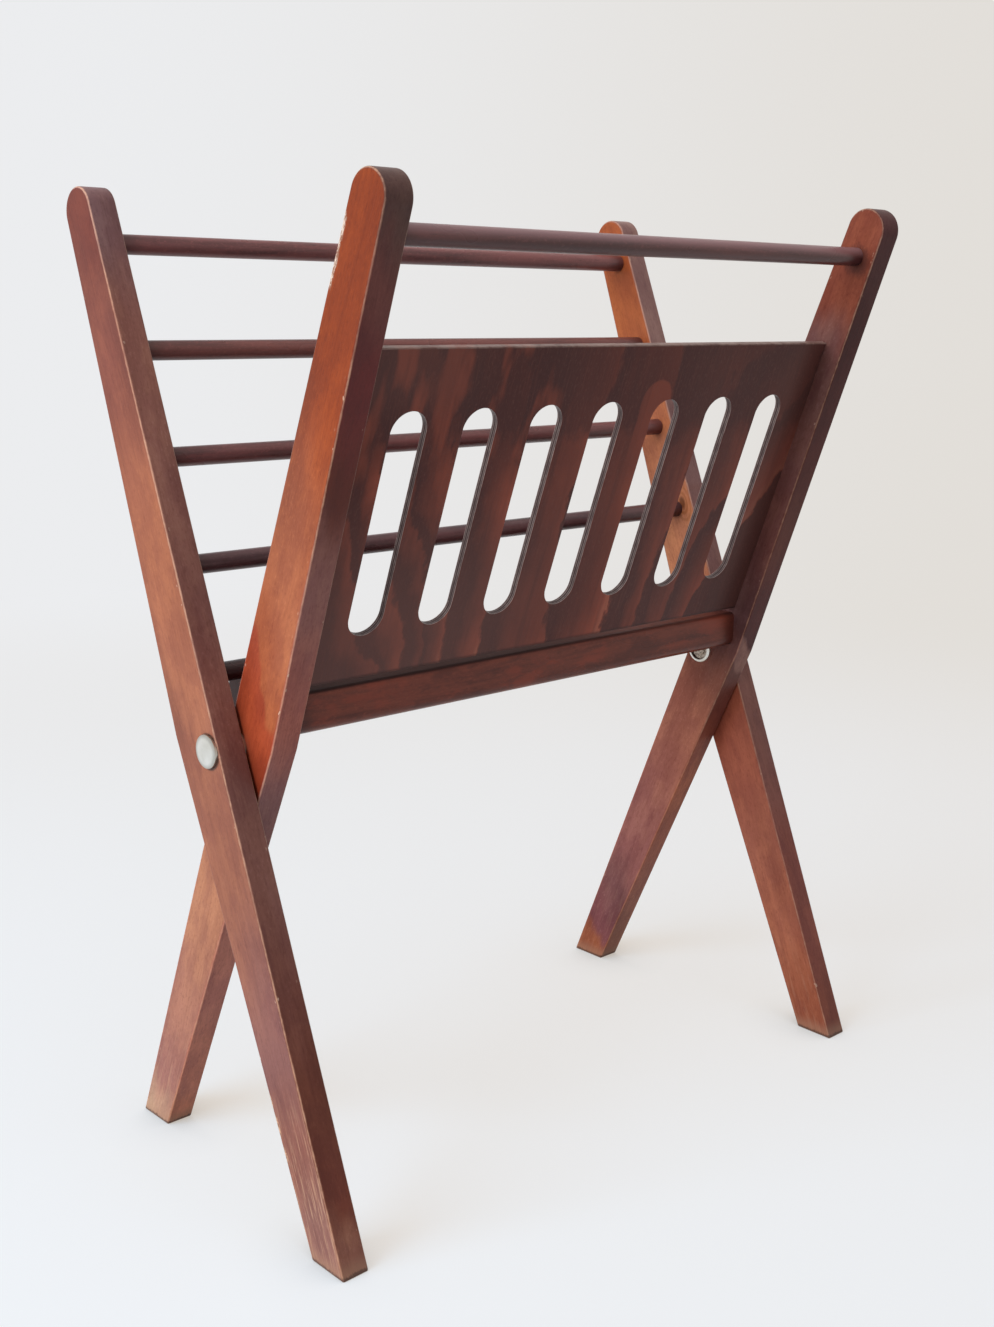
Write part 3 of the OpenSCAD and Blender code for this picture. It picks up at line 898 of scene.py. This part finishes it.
def barMaterial(name, place, bay, tone, deep, seed, shine, wearAndShading=0.0, crevice=False):
    # wood that lies along X: the rungs, the rail and the board
    material, sockets = newMaterial(name)
    height = place[1]
    vector = placed((0, place[0] * mm, height * mm), (0, math.pi / 2, 0))
    wood = useGroup(grain, Vector=vector, Seed=seed)
    colour = layer(tone, deep, wood["Streaks"], 0.35, 0.7)
    colour = layer(colour, scaled(tone, 1.7), wood["Clouds"], 0.5, 0.78, 0.0, 0.5)
    colour = layer(colour, deep, wood["Fibres"], 0.5, 0.78, 0.0, 0.35)
    colour = tint(times(wood["Flecks"], 0.2), colour, (0.03, 0.012, 0.012))
    colour = layer(colour, scaled(tone, 1.5), wood["Grit"], 0.5, 0.75, 0.0, 0.4)
    roughness = reach(wood["Clouds"], 0.3, 0.8, 0.25, 0.37)
    x, y, z = split(ownPoint())
    # darker where the wood meets the legs
    colour = layer(colour, scaled(deep, 0.55), absolute(x), (bay - 16) * mm, (bay - 2) * mm, 0.0, 0.6)
    if wearAndShading:
        # painted light on its upper half and painted shade on its lower half, as light falls from above
        below, above = (0.066, 0.016, 0.021), (0.48, 0.28, 0.30)
        colour = layer(colour, below, z, (height - 3.0) * mm, (height + 1.5) * mm, wearAndShading, 0.0)
        colour = layer(colour, above, z, (height - 1.5) * mm, (height + 4.5) * mm, 0.0, wearAndShading)
    if crevice:
        # the board is blotched, with painted shade under the panel's lower edge
        blotch = cloud(vector, 62, 4, 0.64, seed + 3.0, 0.42)
        colour = layer(colour, deep, blotch, 0.51, 0.63, 0.0, 0.62)
        colour = layer(colour, (0.38, 0.072, 0.040), blotch, 0.47, 0.36, 0.0, 0.55)
        creviceShade = times(reach(z, 0.2630, 0.2641), reach(y, -0.015, -0.012, 1.0, 0.0))
        creviceShade = times(creviceShade, reach(x, -0.02, 0.14, 1.0, 0.5))
        colour = tint(creviceShade, colour, (0.052, 0.021, 0.018))
        roughness = plus(roughness, times(creviceShade, 0.5), clamp=True)
    dress(sockets, colour, roughness, shine, wood["Fibres"], 0.12, 0.0003)
    return material


rivet = {
    "radius": 8.5,
    "sides": 72,
    "rim": 1.5,
    "rise": 0.7,
    "domeSteps": 7,
    "ease": 0.5,
    "shank": 3.0,
    "sidePlay": 0.05,
    "capRim": 2.4,           # raised ring of a cap, round its dish
    "capEase": 1.08,
    "capPlay": 0.06,         # round the shank
    "dishFloor": 0.9,
    "clench": 4.0,           # radius of the end that is clenched into the dish
    "clenchGap": 0.05,
    "clenchRim": 0.5,
    # rise and narrowing of the clenched end, step by step
    "clenchDome": ((0.28, 0.90), (0.22, 0.80), (0.12, 0.62), (0.04, 0.35)),
}


def addDisc(name, thick):
    # stands on x = 0 and rises towards -X
    disc = addBar(name, rivet["radius"], -thick, 0, 0, 0, rivet["sides"])
    openEdit(disc, "FACE")
    choose(disc, "FACE", lambda f: f.normal.x < -0.9)
    return disc


def makeDomed():
    disc = addDisc("disc", rivet["rim"])
    last, lastRise = rivet["radius"], 0.0
    for k in range(1, rivet["domeSteps"] + 1):
        radius = rivet["radius"] * (1 - k / (rivet["domeSteps"] + 1))
        rise = rivet["rise"] * (1 - (radius / rivet["radius"]) ** 2)
        bpy.ops.mesh.inset(thickness=(last - radius) * mm, depth=(rise - lastRise) * mm)
        last, lastRise = radius, rise
    bpy.ops.mesh.poke()
    edge = (rivet["radius"] - 0.01) * mm
    choose(disc, "EDGE", lambda e: bothAt(e, 0, -rivet["rim"] * mm)
           and all(fromAxis(v) > edge for v in e.verts))
    bpy.ops.mesh.bevel(offset=rivet["ease"] * mm, segments=4, profile=0.5)
    closeEdit()
    return disc


def widen(factor):
    bpy.ops.transform.resize(value=(1, factor, factor), center_override=(0, 0, 0))


def pushOut(distance):
    bpy.ops.mesh.extrude_region_move(TRANSFORM_OT_translate={"value": (distance * mm, 0, 0)})


def makeRivet(disc, name):
    # domed head on x = 0, shank towards +X, clenched end beyond the cap's dish
    piece = copyOf(disc, name)
    openEdit(piece, "FACE")
    choose(piece, "FACE", lambda f: f.normal.x > 0.9 and abs(f.calc_center_median().x) < sameSpot)
    bpy.ops.mesh.inset(thickness=(rivet["radius"] - rivet["shank"]) * mm)
    throughLegs = rivet["sidePlay"] + 2 * rack["legThick"] + rack["legGap"]
    pushOut(throughLegs + rivet["dishFloor"] + rivet["clenchGap"])
    pushOut(0)
    widen(rivet["clench"] / rivet["shank"])
    pushOut(rivet["clenchRim"])
    for step, factor in rivet["clenchDome"]:
        pushOut(step)
        widen(factor)
    closeEdit()
    return piece


def makeCap(name):
    # a dished disc: rounded rim, thinner middle, hole for the shank
    height = rivet["rim"] + rivet["rise"]
    piece = addDisc(name, height)
    bpy.ops.mesh.inset(thickness=rivet["capRim"] * mm)
    pushOut(height - rivet["dishFloor"])
    choose(piece, "EDGE", lambda e: bothAt(e, 0, -height * mm)
           and abs(fromAxis(e.verts[0]) - fromAxis(e.verts[1])) < 10 * sameSpot)
    bpy.ops.mesh.bevel(offset=rivet["capEase"] * mm, segments=5, profile=0.5)
    for side in (-1, 1):
        # the two round faces, each of more than 40 corners
        choose(piece, "FACE", lambda f: f.normal.x * side > 0.95 and len(f.verts) > 40)
        size = max(fromAxis(v) for v in bmesh.from_edit_mesh(piece.data).verts if v.select)
        bpy.ops.mesh.inset(thickness=size - (rivet["shank"] + rivet["capPlay"]) * mm)
        bpy.ops.mesh.delete(type="FACE")
    choose(piece, "EDGE", lambda e: e.is_boundary)
    bpy.ops.mesh.bridge_edge_loops()
    closeEdit()
    return piece


def makeRivets():
    disc = makeDomed()
    silver = nickelMaterial("dulledNickel")
    for side, sign, turn in (("left", -1, 0), ("right", 1, math.pi)):
        head = makeRivet(disc, "rivet_" + side)
        cap = makeCap("cap_" + side)
        head.rotation_euler = (0, 0, turn)
        head.location = (sign * (rack["outerFace"] + rivet["sidePlay"]) * mm, 0, pivotZ)
        cap.rotation_euler = (0, 0, turn + math.pi)
        cap.location = (sign * innerBay * mm, 0, pivotZ)
        for piece, node in ((head, "pivot_rivet_" + side), (cap, "pivot_cap_" + side)):
            settle(piece)
            openEdit(piece, "FACE")
            mergeUp(sameSpot / 10)
            smoothOff(piece, 40)
            paint(piece, silver)
            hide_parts(node)
            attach(piece, "panel_frame")
    bpy.data.objects.remove(disc, do_unlink=True)
    print("rivets made")


def nickelMaterial(name):
    material, sockets = newMaterial(name)
    source = ownPoint()
    haze = cloud(source, 120, 3, 0.5, 2.0)
    specks = cloud(source, 1400, 2, 0.6, 6.0)
    colour = tint(reach(haze, 0.35, 0.7), (0.85, 0.83, 0.77), (0.74, 0.72, 0.65))
    colour = layer(colour, (0.42, 0.36, 0.30), specks, 0.64, 0.76, 0.0, 0.35)
    x, y, z = split(placed((0, 0, pivotZ)))
    far = lengthOf(y, z)
    # the inner ends are darker and browner inside their rims, and the heads carry painted shade round theirs
    inside = reach(absolute(x), 0.1685, 0.1695, 1.0, 0.0)
    brown = tint(reach(specks, 0.42, 0.58), (0.10, 0.065, 0.045), (0.46, 0.36, 0.28))
    colour = tint(times(inside, reach(far, 0.0062, 0.0072, 0.92, 0.15)), colour, brown)
    colour = tint(times(inverse(inside), reach(far, 0.0056, 0.0086, 0.0, 0.75)), colour, (0.40, 0.38, 0.33))
    sockets["Metallic"].default_value = 1.0
    dress(sockets, colour, reach(haze, 0.3, 0.75, 0.30, 0.38), 0.5, haze, 0.04, 0.0003)
    return material


def pinMaterial():
    material, sockets = newMaterial("bareBeech")
    vector = placed((0, 0, boardMiddle * mm), (0, math.pi / 2, 0))
    wood = useGroup(grain, Vector=vector, Seed=90.0)
    colour = layer((0.62, 0.42, 0.25), (0.48, 0.29, 0.15), wood["Streaks"], 0.3, 0.7)
    colour = tint(times(wood["Flecks"], 0.4), colour, (0.33, 0.17, 0.08))
    dress(sockets, colour, reach(wood["Fibres"], 0.3, 0.7, 0.5, 0.65), 0.5, wood["Fibres"], 0.2, 0.0003)
    return material


makeLegs()
makePanel()
makeBoard()
for i in range(dowel["count"]):
    number = str(i + 1)
    makeDowel("dowel_" + number, "rung_" + number, "rung_frame", outerBay, rungPlace(i),
              barMaterial("dowelStain_" + number, rungPlace(i), outerBay, **barLooks["rung_" + number]))
makeDowel("rail", "top_rail", "panel_frame", innerBay, railPlace(),
          barMaterial("railStain", railPlace(), innerBay, **barLooks["rail"]))
print("rungs and rail made")
makeRivets()

# the pins and washers keep the frame's own shapes
bare = pinMaterial()
washerMetal = nickelMaterial("washerNickel")
for side in ("left", "right"):
    paint(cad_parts["board_pins_" + side], bare)
    paint(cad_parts["spacer_washer_" + side], washerMetal)
print("pins and washers finished")

studio = {
    "floorRadius": 9.0,
    "cool": (0.838, 0.846, 0.862),
    "warm": (0.760, 0.730, 0.690),
    "floorLit": (0.20, 0.34, 0.50),      # cooler than the glow, so that shadows are warm
    "floorGlow": (0.685, 0.593, 0.491),
    "contact": (0.04, 0.72),             # reach in metres, and the share of the glow left at the feet
    "bounce": 0.42,
    "worldLight": 0.27,
    "keyPower": 66,
    "topPower": 16,
}


def backdropColour(towards):
    # cool on the left, warm on the right
    return tint(reach(towards, -0.30, 0.36), studio["cool"], studio["warm"])


def alongView(vector):
    return addNode("VectorMath", {0: vector, 1: viewRight}, operation="DOT_PRODUCT").outputs["Value"]


def seenRays():
    # rays that see the studio, where all others are lit by it
    path = addNode("LightPath").outputs
    mirrored = calc("MAXIMUM", path["Is Glossy Ray"], path["Is Transmission Ray"])
    return calc("MAXIMUM", path["Is Camera Ray"], mirrored)


def blendShaders(factor, first, second):
    return addNode("MixShader", {0: factor, 1: first.outputs[0], 2: second.outputs[0]})


def addFloor():
    clearSelection()
    bpy.ops.mesh.primitive_circle_add(vertices=64, radius=studio["floorRadius"], fill_type="NGON")
    floor = called("studioFloor")
    material = bpy.data.materials.new("paleFloor")
    material.use_nodes = True
    takeUp(material.node_tree)
    lit = addNode("BsdfDiffuse", {"Color": (*studio["floorLit"], 1)})
    dim = addNode("BsdfDiffuse", {"Color": (studio["bounce"],) * 3 + (1,)})
    # painted contact shadow: the glow is dimmer close to the feet
    contactReach, contactDim = studio["contact"]
    close = addNode("AmbientOcclusion", {"Distance": contactReach}, samples=8).outputs["AO"]
    contact = reach(close, 0.35, 1.0, contactDim, 1.0)
    glow = addNode("Emission", {"Color": (*studio["floorGlow"], 1), "Strength": contact})
    near = addNode("AddShader", {0: lit.outputs[0], 1: glow.outputs[0]})
    # far out the floor takes on the backdrop's colour
    source = ownPoint()
    length = addNode("VectorMath", {0: source}, operation="LENGTH").outputs["Value"]
    far = addNode("Emission", {"Color": backdropColour(calc("DIVIDE", alongView(source), plus(length, 0.6)))})
    pale = blendShaders(reach(length, 0.6, 1.7), near, far)
    addNode("OutputMaterial", {"Surface": blendShaders(seenRays(), dim, pale).outputs[0]})
    paint(floor, material)


def setWorld():
    world = bpy.data.worlds.new("studio")
    scene.world = world
    world.use_nodes = True
    takeUp(world.node_tree)
    direction = addNode("TexCoord").outputs["Generated"]
    plain = addNode("Background", {"Color": backdropColour(alongView(direction))})
    light = addNode("Background", {"Color": (0.93, 0.96, 1.0, 1), "Strength": studio["worldLight"]})
    addNode("OutputWorld", {"Surface": blendShaders(seenRays(), light, plain).outputs[0]})


def addLamp(name, place, target, size, power, colour):
    clearSelection()
    bpy.ops.object.light_add(type="AREA", location=place)
    lamp = bpy.context.object
    lamp.name = name
    lamp.data.shape = "SQUARE"
    lamp.data.size = size
    lamp.data.energy = power
    lamp.data.color = colour
    lamp.rotation_euler = (Vector(target) - Vector(place)).to_track_quat("-Z", "Y").to_euler()
    lamp.visible_camera = False
    lamp.visible_glossy = False


addFloor()
setWorld()
addLamp("keyLamp", (-2.4, 0.25, 1.25), (0, 0, 0.25), 1.9, studio["keyPower"], (1.0, 0.985, 0.965))
addLamp("topLamp", (-0.3, -0.7, 2.5), (0, 0, 0.2), 1.8, studio["topPower"], (1.0, 0.99, 0.98))
print("studio set")
